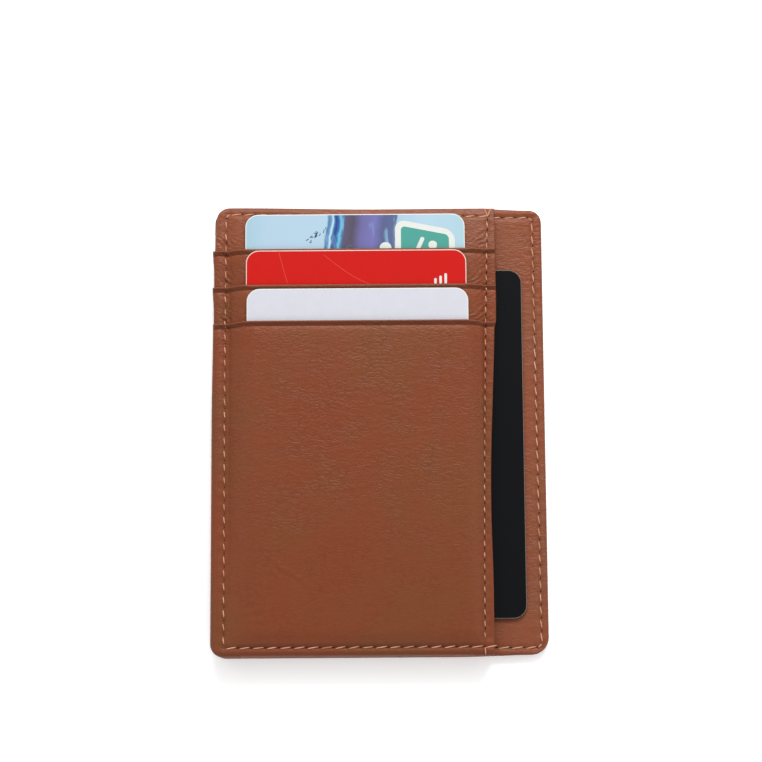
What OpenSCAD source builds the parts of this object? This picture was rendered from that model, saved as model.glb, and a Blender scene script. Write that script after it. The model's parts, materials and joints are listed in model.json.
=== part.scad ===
// Slim leather card wallet: three stepped card pockets on its front and a side slot beside them.
// It lies on its back. +Z points out of its front, +Y towards the pocket mouths and +X to the side
// slot. The origin is on the back face, under the middle of the wallet.
//
// Leather layers are numbered from the back. Each has a floor and a roof that are flat over the
// cards, fall at the cards' sides and ends, and lie pressed together at the sewn edges.

/* [Wallet] */
// Width over the pocket facings
wallet_w = 81; // [81:0.5:90]
// Height
wallet_h = 110.5; // [110.5:0.5:120]
// Corner radius of the leather
corner_r = 3.2; // [2:0.1:4]
// How far the pocket leather stands out past the base on the left
side_step = 0.35; // [0.1:0.05:0.6]

/* [Materials] */
// Leather of the pockets and the slot
leather_t = 0.8; // [0.7:0.05:0.9]
// Leather of the back
back_leather_t = 0.9; // [0.7:0.05:1.2]
// Fabric linings
lining_t = 0.2; // [0.1:0.05:0.25]
// Card board that stiffens the back
board_t = 0.5; // [0.4:0.1:0.8]
// Width of the turned hem round the board
hem_w = 6; // [5:0.5:8]

/* [Pockets] */
// Top edge of the wallet down to the first pocket mouth
mouth_drop = 10.65; // [9:0.05:10.65]
// Distance between pocket mouths
mouth_pitch = 9.35; // [8.5:0.05:9.35]
// Height of each leather pocket facing, which a fabric lining carries on
facing_h = 30; // [20:1:32]
// Height of the space that a card lies in
pocket_gap = 0.95; // [0.9:0.01:1]
// Lean of the middle pocket's card towards the wallet's bottom, in degrees
middle_lean = 0.4; // [0:0.1:0.4]
// Lean of the front pocket's card, in degrees
front_lean = 0.8; // [0.4:0.1:0.8]
// How far the blue, red and white cards stand out of their pockets
card_show = [8.8, 8.7, 8.1]; // [8.1:0.1:9]
// Sideways offset of the blue, red and white cards in their pockets
card_shift = [-0.25, 0, 0.3]; // [-0.3:0.05:0.3]

/* [Side slot] */
// Narrowest point of the front's free edge, from the wallet's middle
slot_edge_x = 26.95; // [26.5:0.05:28]
// Height of that point
slot_edge_y = -20; // [-30:1:0]
// Radius of the free edge's shallow thumb curve
slot_edge_r = 1140; // [1000:10:2000]
// Where the slot's leather begins under the front
slot_leather_x = 12; // [5:1:18]
// Right edge of the black card, from the wallet's middle
slot_card_right = 35.25; // [34:0.25:36]
// Bottom edge of the black card
slot_card_bottom = -46.2; // [-47:0.1:-44]

/* [Cards] */
// Width of a standard card
card_w = 53.98; // [53.9:0.01:54.03]
// Length of a standard card
card_h = 85.6; // [85.4:0.01:85.6]
// Thickness of a standard card
card_t = 0.76; // [0.68:0.01:0.84]
// Corner radius of a standard card
card_r = 3.18; // [2.88:0.01:3.48]

/* [Seams] */
// Edge to seam on the left
seam_in_left = 3.1; // [2.6:0.1:3.5]
// Edge to seam on the other sides
seam_in = 2.0; // [1.7:0.1:2.2]
// Free edge to seam at the side slot
slot_seam_in = 2.2; // [1.8:0.1:2.4]
// Stitch length round the wallet
stitch_pitch = 3.2; // [2.5:0.1:4]
// Stitch length along the free edge
slot_stitch_pitch = 2.75; // [2.2:0.05:3.5]
// Thread diameter
thread_d = 0.4; // [0.3:0.05:0.45]

/* [Hidden] */

leather = "#8C543E";
fabric = "#4B3026";
board = "#9C8A6C";
tape = "#D8D2C4";
thread = "#D9A080";

corner_fn = 64;
edge_fn = 1440;
thread_fn = 16;
// A length that reaches past the wallet on every side
reach = 200;
// A small amount that cuts run past a face
past = 1;

left = -wallet_w / 2;
right = wallet_w / 2;
top = wallet_h / 2;
bottom = -wallet_h / 2;
base_left = left + side_step;

// Heights of the stack under the pockets
hem_z = back_leather_t + board_t;
base_top = hem_z + leather_t;

// Mouths of the top, middle and front pockets
mouth = [for (i = [0:2]) top - mouth_drop - i * mouth_pitch];

// Sides of the space that the cards lie in, and the ramps round it
pocket_left = left + 7.4;
pocket_right = pocket_left + 55.6;
pocket_bottom = bottom + 3.5;
ramp_side = 0.2;
ramp_left = [left + 5.2, pocket_left - ramp_side];
ramp_right = [pocket_right + ramp_side, pocket_right + 2.1];
ramp_bottom = [bottom + 2.25, pocket_bottom - 0.15];
ramp_top = [top - 4.2, top - 2.9];

// Each layer surface over the cards: [y where it is at its height, height, lean]
slot_roof = base_top + pocket_gap;
base_roof = slot_roof + lining_t + leather_t;
top_roof = base_roof + pocket_gap + leather_t;
middle_roof = top_roof - tan(middle_lean) * mouth_pitch + pocket_gap + leather_t;
front_rise = pocket_gap + lining_t + leather_t;
front_roof = middle_roof - tan(front_lean) * mouth_pitch + front_rise;
surface = [
    [top, slot_roof, 0],
    [top, base_roof, 0],
    [mouth[0], top_roof, middle_lean],
    [mouth[1], middle_roof, front_lean],
    [mouth[2], front_roof, front_lean]
];
function surface_z(i, y) = surface[i][1] + tan(surface[i][2]) * (y - surface[i][0]);
// The same surfaces at the sewn edges, and at the free edge of the side slot
function edge_z(i) = base_top + i * leather_t;
function free_z(i) = i == 0 ? slot_roof : base_roof + (i - 1) * leather_t;

card_x = [for (i = [0:2]) (pocket_left + pocket_right) / 2 + card_shift[i]];
card_gap = (pocket_gap - card_t) / 2;

// Seams
groove_w = thread_d + 0.2;
groove_d = thread_d * 0.75;
back_groove_d = thread_d + 0.05;
stitch_l = 0.78;
seam_left = left + seam_in_left;
seam_right = right - seam_in;
seam_top = top - seam_in;
seam_bottom = bottom + seam_in - 0.15;
seam_r = 1.5;
free_seam_r = slot_edge_r + slot_seam_in;
function free_edge_x(y, r) = slot_edge_x + slot_edge_r - sqrt(r * r - pow(y - slot_edge_y, 2));

// Pocket linings: where each is folded down to the base, and its sewn foot
foot_l = 4;
lining_end = [for (i = [0:1]) mouth[i] + card_show[i] - card_h - 0.4];

// A rectangle from one corner to the other with round corners
module round_rect(x0, y0, x1, y1, r) {
    translate([x0 + r, y0]) square([x1 - x0 - 2 * r, y1 - y0]);
    translate([x0, y0 + r]) square([x1 - x0, y1 - y0 - 2 * r]);
    for (x = [x0 + r, x1 - r], y = [y0 + r, y1 - r]) {
        translate([x, y]) circle(r, $fn = corner_fn);
    }
}

module base_outline() {
    round_rect(base_left, bottom, right, top, corner_r);
}

// The front's outline, whose right side is the free edge of the side slot
module front_outline(x0) {
    difference() {
        round_rect(x0, bottom, right, top, corner_r);
        free_edge_circle(slot_edge_r);
    }
}

module free_edge_circle(r) {
    translate([slot_edge_x + slot_edge_r, slot_edge_y]) circle(r, $fn = edge_fn);
}

module box(x0, y0, z0, x1, y1, z1) {
    translate([x0, y0, z0]) cube([x1 - x0, y1 - y0, z1 - z0]);
}

// Everything under layer surface i
module under(i) {
    z = surface[i][1];
    side = [
        [-reach, -past], [-reach, edge_z(i)], [ramp_left[0], edge_z(i)], [ramp_left[1], z],
        [ramp_right[0], z], [ramp_right[1], free_z(i)], [reach, free_z(i)], [reach, -past]
    ];
    low = [
        [-reach, -past], [-reach, edge_z(i)], [ramp_bottom[0], edge_z(i)],
        [ramp_bottom[1], surface_z(i, ramp_bottom[1])]
    ];
    high = i < 2
        ? [[ramp_top[0], z], [ramp_top[1], edge_z(i)], [reach, edge_z(i)], [reach, -past]]
        : [[mouth[i - 2], z], [mouth[i - 2], -past]];
    intersection() {
        translate([0, reach, 0]) rotate([90, 0, 0]) linear_extrude(2 * reach) polygon(side);
        translate([-reach, 0, 0]) rotate([90, 0, 90]) linear_extrude(2 * reach)
            polygon(concat(low, high));
    }
}

// The space between layer surfaces i and i + 1, inside the front's outline
module layer(i, x0) {
    difference() {
        intersection() {
            under(i + 1);
            linear_extrude(reach) front_outline(x0);
        }
        under(i);
    }
}

// Puts z = 0 and y = 0 on layer surface i, at its reference height
module on_surface(i) {
    translate([0, surface[i][0], surface[i][1]]) rotate([surface[i][2], 0, 0]) children();
}

// The space for the card on surface i from y0 up, open at the mouth
module card_space(i, rise, y0) {
    on_surface(i) box(pocket_left, y0 - surface[i][0], -past / 10, pocket_right, reach, rise);
}

// The part of a facing that the lining takes the place of
module lining_window(i) {
    box(pocket_left - ramp_side / 2, -reach, 0, pocket_right + ramp_side / 2,
        mouth[i] - facing_h, reach);
}

module seam_ring(z0, z1) {
    translate([0, 0, z0]) linear_extrude(z1 - z0) difference() {
        round_rect(seam_left - groove_w / 2, seam_bottom - groove_w / 2,
                   seam_right + groove_w / 2, seam_top + groove_w / 2, seam_r + groove_w / 2);
        round_rect(seam_left + groove_w / 2, seam_bottom + groove_w / 2,
                   seam_right - groove_w / 2, seam_top - groove_w / 2, seam_r - groove_w / 2);
    }
}

// The pressed line of the free edge's seam between two heights
module free_seam_groove(y0, y1, z0, z1) {
    translate([0, 0, z0]) linear_extrude(z1 - z0) intersection() {
        difference() {
            free_edge_circle(free_seam_r + groove_w / 2);
            free_edge_circle(free_seam_r - groove_w / 2);
        }
        translate([0, y0]) square([reach, y1 - y0]);
    }
}

// Both seams' grooves in the front of layer i, where no other leather covers it
module front_grooves(i) {
    y0 = i == 4 ? bottom - past : mouth[i - 1];
    y1 = i == 1 ? top + past : mouth[i - 2];
    intersection() {
        seam_ring(edge_z(i) - groove_d, reach);
        box(-reach, y0, 0, pocket_right, y1, reach);
    }
    free_seam_groove(max(y0, ramp_bottom[1]), min(y1, ramp_top[0]), free_z(i) - groove_d, reach);
    intersection() {
        seam_ring(edge_z(i) - groove_d, reach);
        box(0, y0, 0, reach, y1, reach);
        union() {
            box(0, -reach, 0, reach, ramp_bottom[0], reach);
            box(0, ramp_top[1], 0, reach, reach, reach);
        }
    }
}

module back_panel() {
    color(leather) difference() {
        union() {
            linear_extrude(back_leather_t) base_outline();
            translate([0, 0, back_leather_t]) linear_extrude(board_t) difference() {
                base_outline();
                board_outline();
            }
        }
        seam_ring(-past, back_groove_d);
    }
}

module board_outline() {
    round_rect(base_left + hem_w, bottom + hem_w, right - hem_w, top - hem_w, 1);
}

module back_stiffener() {
    color(board) translate([0, 0, back_leather_t]) linear_extrude(board_t) board_outline();
}

module slot_facing() {
    color(leather) difference() {
        translate([0, 0, hem_z]) linear_extrude(leather_t) intersection() {
            base_outline();
            translate([slot_leather_x, -reach]) square(2 * reach);
        }
        seam_ring(base_top - groove_d, reach);
    }
}

module slot_lining() {
    color(fabric) translate([0, 0, hem_z]) linear_extrude(lining_t) intersection() {
        base_outline();
        translate([slot_leather_x - reach, -reach]) square([reach, 2 * reach]);
    }
}

// The leather behind the top card, with its hem turned under along the sewn edges
module pocket_base() {
    color(leather) difference() {
        union() {
            layer(0, base_left);
            translate([0, 0, hem_z + lining_t]) linear_extrude(leather_t - lining_t)
                turned_hem_outline();
        }
        pocket_base_lining_box();
        front_grooves(1);
        free_seam_groove(ramp_bottom[1], ramp_top[0], slot_roof - past, slot_roof + back_groove_d);
    }
}

module turned_hem_outline() {
    difference() {
        intersection() {
            base_outline();
            translate([slot_leather_x - reach, -reach]) square([reach, 2 * reach]);
        }
        translate([ramp_left[0], ramp_bottom[0]])
            square([reach, ramp_top[1] - ramp_bottom[0]]);
    }
}

module pocket_base_lining_box() {
    box(pocket_left, ramp_bottom[1], slot_roof, ramp_right[0], ramp_top[0], slot_roof + lining_t);
}

module pocket_base_lining() {
    color(fabric) pocket_base_lining_box();
}

// A leather facing: a bar under the mouth, and legs down both sewn sides
module pocket_facing(i) {
    color(leather) difference() {
        layer(i, left);
        card_space(i, pocket_gap, mouth[i - 1] - facing_h - past);
        lining_window(i - 1);
        mouth_tape_box(i);
        front_grooves(i + 1);
    }
}

// Stay tape inside the mouth's turned edge
module mouth_tape_box(i) {
    tape_h = 5;
    tape_t = 0.15;
    tape_z = pocket_gap + leather_t * 0.35 + (i == 3 ? lining_t : 0);
    on_surface(i)
        translate([pocket_left + 2, mouth[i - 1] - surface[i][0] - 1 - tape_h, tape_z])
            cube([pocket_right - pocket_left - 4, tape_h, tape_t]);
}

module mouth_tape(i) {
    color(tape) mouth_tape_box(i);
}

// Fabric that carries a facing on over the card, down behind its end and along the base
module pocket_lining(i) {
    y0 = lining_end[i - 1];
    y1 = mouth[i - 1] - facing_h;
    z0 = surface_z(i, y0) + pocket_gap;
    z1 = surface_z(i, y1) + pocket_gap;
    strip = [
        [y1, z1], [y0, z0], [y0, base_roof], [y0 - foot_l, base_roof],
        [y0 - foot_l, base_roof + lining_t], [y0 - lining_t, base_roof + lining_t],
        [y0 - lining_t, z0 + lining_t], [y1, z1 + lining_t]
    ];
    color(fabric) translate([pocket_left, 0, 0]) rotate([90, 0, 90])
        linear_extrude(pocket_right - pocket_left) polygon(strip);
}

// The whole leather front, with the thick hem turned under along its bottom
module front_pocket_panel() {
    color(leather) difference() {
        union() {
            layer(3, left);
            difference() {
                intersection() {
                    under(3);
                    linear_extrude(reach) front_outline(left);
                    box(pocket_left, -reach, 0, pocket_right, ramp_bottom[1], reach);
                }
                under(1);
            }
        }
        card_space(3, pocket_gap + lining_t, pocket_bottom);
        mouth_tape_box(3);
        front_grooves(4);
    }
}

module front_pocket_lining() {
    color(fabric) on_surface(3)
        box(pocket_left, pocket_bottom - surface[3][0], pocket_gap,
            pocket_right, mouth[2] - surface[3][0] - past, pocket_gap + lining_t);
}

// One stitch from its middle, along X or turned along Y
module stitch(pitch, turn = 0) {
    rotate([0, 90, turn]) cylinder(h = pitch * stitch_l, d = thread_d, center = true, $fn = thread_fn);
}

// A row of stitch positions that fills a length evenly
function row(from, to, pitch) =
    let (n = floor((to - from) / pitch))
    [for (i = [0:n - 1]) from + (i + 0.5) * (to - from) / n];

// Heights of the leather that a stitch lies on, at the sewn edges and at the free edge
function layer_at(y) = y > mouth[0] ? 1 : y > mouth[1] ? 2 : y > mouth[2] ? 3 : 4;
function clear_of_mouths(y) = min([for (m = mouth) abs(y - m)]) > stitch_pitch * stitch_l / 2 + 0.1;
function over_front(x, y) = x < free_edge_x(y, slot_edge_r);
thread_z = thread_d / 2 - groove_d;

module perimeter_stitching() {
    xs = row(seam_left + seam_r, seam_right - seam_r, stitch_pitch);
    ys = row(seam_bottom + seam_r, seam_top - seam_r, stitch_pitch);
    back_z = back_groove_d - thread_d / 2;
    color(thread) {
        for (y = ys) {
            if (clear_of_mouths(y)) {
                translate([seam_left, y, edge_z(layer_at(y)) + thread_z]) stitch(stitch_pitch, 90);
            }
            translate([seam_right, y, base_top + thread_z]) stitch(stitch_pitch, 90);
            for (x = [seam_left, seam_right]) {
                translate([x, y, back_z]) stitch(stitch_pitch, 90);
            }
        }
        for (x = xs, y = [seam_bottom, seam_top]) {
            z = over_front(x, y) ? edge_z(y > 0 ? 1 : 4) : base_top;
            if (abs(x - free_edge_x(y, slot_edge_r)) > stitch_pitch * stitch_l / 2) {
                translate([x, y, z + thread_z]) stitch(stitch_pitch);
            }
            translate([x, y, back_z]) stitch(stitch_pitch);
        }
    }
}

module slot_edge_stitching() {
    color(thread) for (y = row(ramp_bottom[1], ramp_top[0], slot_stitch_pitch)) {
        x = free_edge_x(y, free_seam_r);
        if (clear_of_mouths(y)) {
            translate([x, y, free_z(layer_at(y)) + thread_z]) stitch(slot_stitch_pitch, 90);
        }
        translate([x, y, slot_roof + back_groove_d - thread_d / 2]) stitch(slot_stitch_pitch, 90);
    }
}

module pocket_bottom_stitching() {
    color(thread) for (y0 = lining_end, x = row(pocket_left + 2, pocket_right - 2, stitch_pitch)) {
        translate([x, y0 - foot_l / 2, base_roof + lining_t + thread_d / 2]) stitch(stitch_pitch);
    }
}

module card_blank() {
    linear_extrude(card_t) round_rect(-card_w / 2, -card_h, card_w / 2, 0, card_r);
}

// A card in the pocket on surface i, standing out of its mouth
module pocket_card(i) {
    on_surface(i)
        translate([card_x[i - 1], mouth[i - 1] + card_show[i - 1] - surface[i][0], card_gap])
            card_blank();
}

module blue_card() {
    color("#B8D4E6") pocket_card(1);
}

module red_card() {
    color("#D32622") pocket_card(2);
}

module white_card() {
    color("#DFE0E9") pocket_card(3);
}

module black_card() {
    color("#1E1E20")
        translate([slot_card_right - card_w / 2, slot_card_bottom + card_h, base_top + card_gap])
            card_blank();
}

back_panel();
back_stiffener();
slot_facing();
slot_lining();
pocket_base();
pocket_base_lining();
pocket_facing(1);  // top_pocket_facing
pocket_lining(1);  // top_pocket_lining
mouth_tape(1);  // top_mouth_tape
pocket_facing(2);  // middle_pocket_facing
pocket_lining(2);  // middle_pocket_lining
mouth_tape(2);  // middle_mouth_tape
front_pocket_panel();
front_pocket_lining();
mouth_tape(3);  // front_mouth_tape
perimeter_stitching();
slot_edge_stitching();
pocket_bottom_stitching();
blue_card();
red_card();
white_card();
black_card();
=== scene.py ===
import bpy
import json
import math
import random
from mathutils import Matrix, Vector, noise


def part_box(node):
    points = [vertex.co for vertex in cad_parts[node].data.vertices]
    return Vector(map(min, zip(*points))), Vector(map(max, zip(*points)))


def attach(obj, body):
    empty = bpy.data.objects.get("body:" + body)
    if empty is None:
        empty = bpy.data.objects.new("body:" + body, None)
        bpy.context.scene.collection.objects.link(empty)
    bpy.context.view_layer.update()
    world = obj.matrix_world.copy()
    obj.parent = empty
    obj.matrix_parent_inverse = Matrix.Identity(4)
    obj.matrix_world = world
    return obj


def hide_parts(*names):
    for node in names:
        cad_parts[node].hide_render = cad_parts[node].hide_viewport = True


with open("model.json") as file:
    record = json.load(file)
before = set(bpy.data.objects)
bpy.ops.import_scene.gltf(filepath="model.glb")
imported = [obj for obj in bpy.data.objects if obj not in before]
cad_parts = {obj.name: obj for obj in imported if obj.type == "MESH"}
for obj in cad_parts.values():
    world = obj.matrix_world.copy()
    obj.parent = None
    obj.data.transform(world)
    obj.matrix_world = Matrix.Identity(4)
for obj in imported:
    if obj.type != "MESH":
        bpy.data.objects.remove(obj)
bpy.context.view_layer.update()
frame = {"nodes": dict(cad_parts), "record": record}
random.seed(11)
mm = 0.001


# places, read from the frame, in millimetres

def boxOf(node):
    low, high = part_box(node)
    return [c / mm for c in low], [c / mm for c in high]


def leanOf(jointName):
    axis = next(j["axis"] for j in frame["record"]["behaviour"]["joints"] if j["name"] == jointName)
    return axis[2] / axis[1]


base = {"low": boxOf("back_panel")[0], "high": boxOf("slot_facing")[1], "seamZ": boxOf("slot_facing")[0][2]}
leatherThick = base["high"][2] - base["seamZ"]
baseTop = base["high"][2]
liningTop = boxOf("slot_lining")[1][2]
pocket = {"low": boxOf("front_pocket_lining")[0], "high": boxOf("front_pocket_lining")[1]}
facingNodes = ["pocket_base", "top_pocket_facing", "middle_pocket_facing", "front_pocket_panel"]
facingLeft = boxOf("front_pocket_panel")[0][0]
wallet = {"left": base["low"][0], "right": base["high"][0], "bottom": base["low"][1], "top": base["high"][1]}
mouths = [boxOf(n)[1][1] for n in facingNodes[1:]]

# each leather layer over the cards: its height at its own mouth, where that is, and how it leans
roofs = [(boxOf(n)[1][2], boxOf(n)[1][1]) for n in facingNodes]
leans = [0, leanOf("red_card_slide"), leanOf("white_card_slide"), leanOf("white_card_slide")]

# the slot's free edge, a shallow thumb curve that flares out towards the top
freeEdge = {
    "narrow": wallet["right"] - 13.55, "flare": 1.55, "foot": 0.3, "under": 0.4,
    "top": wallet["right"] - 11.5,
}

# where the leather starts to rise over the cards, and over how many millimetres
shoulder = {
    "left": (wallet["left"] + 3.7, 5.2, 7), "right": (pocket["high"][0] + 3.4, 5.5, 5.5),
    "bottom": (wallet["bottom"] + 1.9, 4, 4.6),
}

# where the seams run, and how far apart their stitches are
seam = {
    "left": wallet["left"] + 2.75, "right": wallet["right"] - 2.35, "rightSpread": 0.6,
    "bottom": wallet["bottom"] + 2.1, "top": wallet["top"] - 2.15, "topRise": 0.9, "topFall": 0.2,
    "slotFoot": wallet["right"] - 15.5, "slotLean": 0.0217, "slotBow": 0.00016, "slotEnds": (-42, 48),
    "pitch": 3.2, "slotPitch": 2.75,
}


def freeEdgeX(y):
    out = freeEdge["flare"] * smooth(-18, 34, y) + freeEdge["foot"] * smooth(-20, -40, y)
    return freeEdge["narrow"] + out


# the slot's seam leans out towards the top, and bows in a little halfway
def slotSeamX(y):
    low, high = seam["slotEnds"]
    return seam["slotFoot"] + seam["slotLean"] * (y - low) + seam["slotBow"] * (y - low) * (y - high)


def rightSeamX(y):
    return seam["right"] + seam["rightSpread"] * (wallet["top"] - y) / (wallet["top"] - wallet["bottom"])


def topSeamY(x):
    return seam["top"] + seam["topRise"] * smooth(-8, -36, x) - seam["topFall"] * smooth(20, 34, x)


# the leather's shape

def smooth(start, end, value):
    t = min(max((value - start) / (end - start), 0), 1)
    return t * t * (3 - 2 * t)


def bell(distance, width):
    return math.exp(-(distance / width) ** 2)


# how far the leather is pulled in along the seams, and how it rounds off at its outer edge
press = {"depth": 0.32, "slotShare": 0.8, "width": 0.6, "pull": 0.06, "pullWidth": 1.5}
roll = {"share": 0.13, "width": 1.7}


# each side's seam: how far away it is, the place along it, and its pitch
def seamDistances(x, y):
    inY = min(max(y, seam["bottom"]), topSeamY(x))
    inX = min(max(x, seam["left"]), rightSeamX(y))
    return [
        (math.hypot(x - seam["left"], y - inY), y, seam["pitch"]),
        (math.hypot(x - rightSeamX(y), y - inY), y, seam["pitch"]),
        (math.hypot(x - inX, y - seam["bottom"]), x, seam["pitch"]),
        (math.hypot(x - inX, y - topSeamY(x)), x, seam["pitch"]),
    ]


def pressed(x, y, front):
    near = min(seamDistances(x, y), key=lambda s: s[0])
    dip = press["depth"] * bell(near[0], press["width"])
    pull = press["pull"] * bell(near[0], press["pullWidth"]) * math.cos(2 * math.pi * near[1] / near[2])
    if front:
        side = abs(x - slotSeamX(y))
        dip = max(dip, press["depth"] * press["slotShare"] * bell(side, press["width"]))
        pull += press["pull"] * bell(side, press["pullWidth"]) * math.cos(2 * math.pi * y / seam["slotPitch"])
    return dip - pull


def insideEdge(x, y):
    return min(x - facingLeft, wallet["right"] - x, y - wallet["bottom"], wallet["top"] - y)


def edgeRoll(x, y):
    return 1 - roll["share"] * max(0, 1 - insideEdge(x, y) / roll["width"]) ** 2


# the share of its full height that the leather has reached this far up a shoulder
def domed(side, i, distance):
    width = shoulder[side][2 if i == 4 else 1]
    t = min(max(distance / width, 0), 1)
    return (1 - (1 - t) ** 2) * smooth(-0.3, 0.6, distance)


# the front leather is crowned over its card and falls away gently to the bottom, where the seam stands higher
crown = {"rise": 0.28, "fall": 0.2, "seamRise": 0.6}


# the height of layer i's upper face: flat over its card, sloping to the sewn edges and the free edge
def layerTop(i, x, y):
    roof, roofY = roofs[i - 1]
    over = roof + leans[i - 1] * (y - roofY)
    rise = 0.4 + 0.6 * smooth(mouths[2], 5, y) + crown["seamRise"] * smooth(-20, -45, y)
    edge = baseTop + i * leatherThick + rise * i / 4
    if i == 4:
        across = math.sin(math.pi * smooth(pocket["low"][0] - 2, pocket["high"][0] + 2, x))
        over += (crown["rise"] * across * smooth(mouths[2], mouths[2] - 14, y)
                 * smooth(wallet["bottom"], -20, y))
        over -= crown["fall"] * smooth(-24, pocket["low"][1], y)
    free = roofs[0][0] + (i - 1) * leatherThick
    z = free + (over - free) * domed("right", i, shoulder["right"][0] - x)
    inside = domed("left", i, x - shoulder["left"][0]) * domed("bottom", i, y - shoulder["bottom"][0])
    if i == 1:
        steep = smooth(wallet["top"] - 0.8, wallet["top"] - 2.8, y)
        inside *= 0.5 * steep + 0.5 * smooth(wallet["top"], 43.5, y)
    z = edge + (z - edge) * inside
    return (z - pressed(x, y, True)) * edgeRoll(x, y)


def baseSurface(x, y):
    return (baseTop - pressed(x, y, False)) * edgeRoll(x, y)


# fine creases that lie mostly across the wallet, in millimetres
crease = {"height": 0.022, "length": 3.4, "width": 1.5}


def creases(x, y, seed):
    p = Vector((x / crease["length"], y / crease["width"], seed))
    bend = Vector((0, noise.noise(Vector((x / 7, y / 7, seed + 3))) * 1.6, 0))
    n = noise.fractal(p + bend, 0.9, 2.1, 2)
    strength = 0.4 + 0.6 * smooth(-45, 0, y)
    return crease["height"] * strength * (abs(n) * 1.6 - 0.35)


# the turned mouth, down from its edge: a rounded lip, then a pressed line that fades out below
lip = {"crest": 0.3, "line": 1.35, "swell": 0.32, "depth": 0.26, "reach": 0.7}


# how much darker the leather is painted: painted shade on the turned lips and in the seams' pressed grooves,
# burnish with painted shade at the outer edge, and painted highlights that make it paler
def burnishAndPaintedLightAt(i, x, y):
    near = min(s[0] for s in seamDistances(x, y))
    if i:
        near = min(near, abs(x - slotSeamX(y)))
    # painted shade in the seams' pressed grooves
    rubbedAndPaintedLight = 0.5 * bell(near, 0.4)
    # burnish, partly painted shade, at the rolled outer edge
    rubbedAndPaintedLight = max(rubbedAndPaintedLight, 0.4 * max(0, 1 - insideEdge(x, y) / 0.9))
    if i > 1:
        below = mouths[i - 2] - y
        # painted shade on the lip, which turns away from the light
        lipPaintedShade = smooth(0.2, 0.5, below) * smooth(lip["line"] + 0.1, lip["line"] - 0.15, below)
        # a painted highlight: the very edge and the leather just under the line are painted paler
        paintedHighlight = 0.5 * smooth(0.4, 0.1, below)
        if below > lip["line"]:
            paintedHighlight = 0.5 * math.exp((lip["line"] - below) / 0.8)
        rubbedAndPaintedLight = max(rubbedAndPaintedLight, lipPaintedShade) - paintedHighlight
    return rubbedAndPaintedLight


# a few soft folds, most near the lower left corner: both ends and how high each stands
folds = [
    ((-27.5, -31.5), (-16.5, -39), 0.06), ((-25, -33.5), (-17.5, -37.2), 0.05),
    ((-33, -37), (-25, -38.6), 0.04), ((-34, -45.5), (-26.5, -43.8), 0.05),
    ((-33.5, -47.5), (-28, -46.6), 0.04), ((-13, -41.5), (-9, -42.4), 0.035),
    ((18.5, -25.5), (23, -27.5), 0.05), ((12, -33), (16.5, -32.2), 0.03),
]


def foldLines(x, y):
    total = 0
    for (x0, y0), (x1, y1), height in folds:
        length = math.hypot(x1 - x0, y1 - y0)
        along = ((x - x0) * (x1 - x0) + (y - y0) * (y1 - y0)) / length
        if -1 < along < length + 1:
            wander = 0.7 * noise.noise(Vector((along / 2.5, x0, 0)))
            off = ((y - y0) * (x1 - x0) - (x - x0) * (y1 - y0)) / length - wander
            if abs(off) < 2:
                fade = smooth(-1, 2, along) * smooth(length + 1, length - 2, along)
                total += height * fade * (bell(off, 0.5) - 0.8 * bell(off + 0.8, 0.55))
    return total


# gathers where the sewn mouths pull at the leather
pucker = {"height": 0.22, "reachX": 2.3, "reachY": 2.6, "wave": 1.25, "above": 2.4}


def puckers(x, y):
    total = 0
    for mouth in mouths:
        for seamX, side, aside in ((seam["left"], 1, -0.2), (slotSeamX(y), -1, -1.4)):
            near = bell(x - seamX - aside, pucker["reachX"])
            near *= bell(y - mouth - pucker["above"], pucker["reachY"])
            near += 0.5 * bell(x - seamX, 2.0) * bell(y - mouth + 1.5, 1.6)
            if near > 0.02:
                wobble = noise.noise(Vector((x / 2.4, y / 2.4, 5 * side)))
                phase = (0.8 * y + side * (x - seamX) * 0.7 + wobble * 1.1) / pucker["wave"]
                uneven = 0.55 + 0.9 * noise.noise(Vector((x / 1.9, y / 1.9, 5 + side)))
                total += near * math.sin(2 * math.pi * phase) * max(0, uneven)
    return pucker["height"] * total


def lipShape(below):
    if below > lip["line"]:
        return -lip["depth"] * math.exp((lip["line"] - below) / lip["reach"])
    down = max(0, (below - lip["crest"]) / (lip["line"] - lip["crest"]))
    return lip["swell"] - (lip["swell"] + lip["depth"]) * down


# leather pieces

def deselectAll():
    if bpy.context.object and bpy.context.object.mode != "OBJECT":
        bpy.ops.object.mode_set(mode="OBJECT")
    bpy.ops.object.select_all(action="DESELECT")


def stopsThrough(segments):
    stops = []
    for start, end, step in segments:
        count = max(1, round((end - start) / step))
        stops += [start + (end - start) * k / count for k in range(count)]
    return stops + [segments[-1][1]]


# these round off the cut edges
edgeStops = [0, 0.04, 0.11, 0.21, 0.33, 0.5]


# stops along one side of a piece, each segment with its own step, and closer together at both ends
def withEdges(segments, atStart=True):
    inner = stopsThrough(segments)
    start, end = inner[0], inner[-1]
    if atStart:
        inner = [start + e for e in edgeStops] + [s for s in inner if s > start + 0.6]
    return [s for s in inner if s < end - 0.6] + [end - e for e in reversed(edgeStops)]


# a square corner of the grid is drawn in to a quarter circle, so the outline gets round corners
def roundedCorner(x, y, frameBox, corners):
    x0, y0, x1, y1 = frameBox
    for name, cornerX, cornerY, signX, signY in (
        ("bottomLeft", x0, y0, -1, -1), ("bottomRight", x1, y0, 1, -1),
        ("topLeft", x0, y1, -1, 1), ("topRight", x1, y1, 1, 1),
    ):
        r = corners.get(name, 0)
        centreX = cornerX - signX * r
        centreY = cornerY - signY * r
        a = (x - centreX) * signX / r if r else -1
        b = (y - centreY) * signY / r if r else -1
        if a > 0 and b > 0:
            outA = a * math.sqrt(1 - b * b / 2)
            outB = b * math.sqrt(1 - a * a / 2)
            away = r * (1 - math.hypot(outA, outB))
            return centreX + signX * r * outA, centreY + signY * r * outB, away
    return x, y, min(x - x0, x1 - x, y - y0, y1 - y)


def noShift(along):
    return 0, 0


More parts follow.
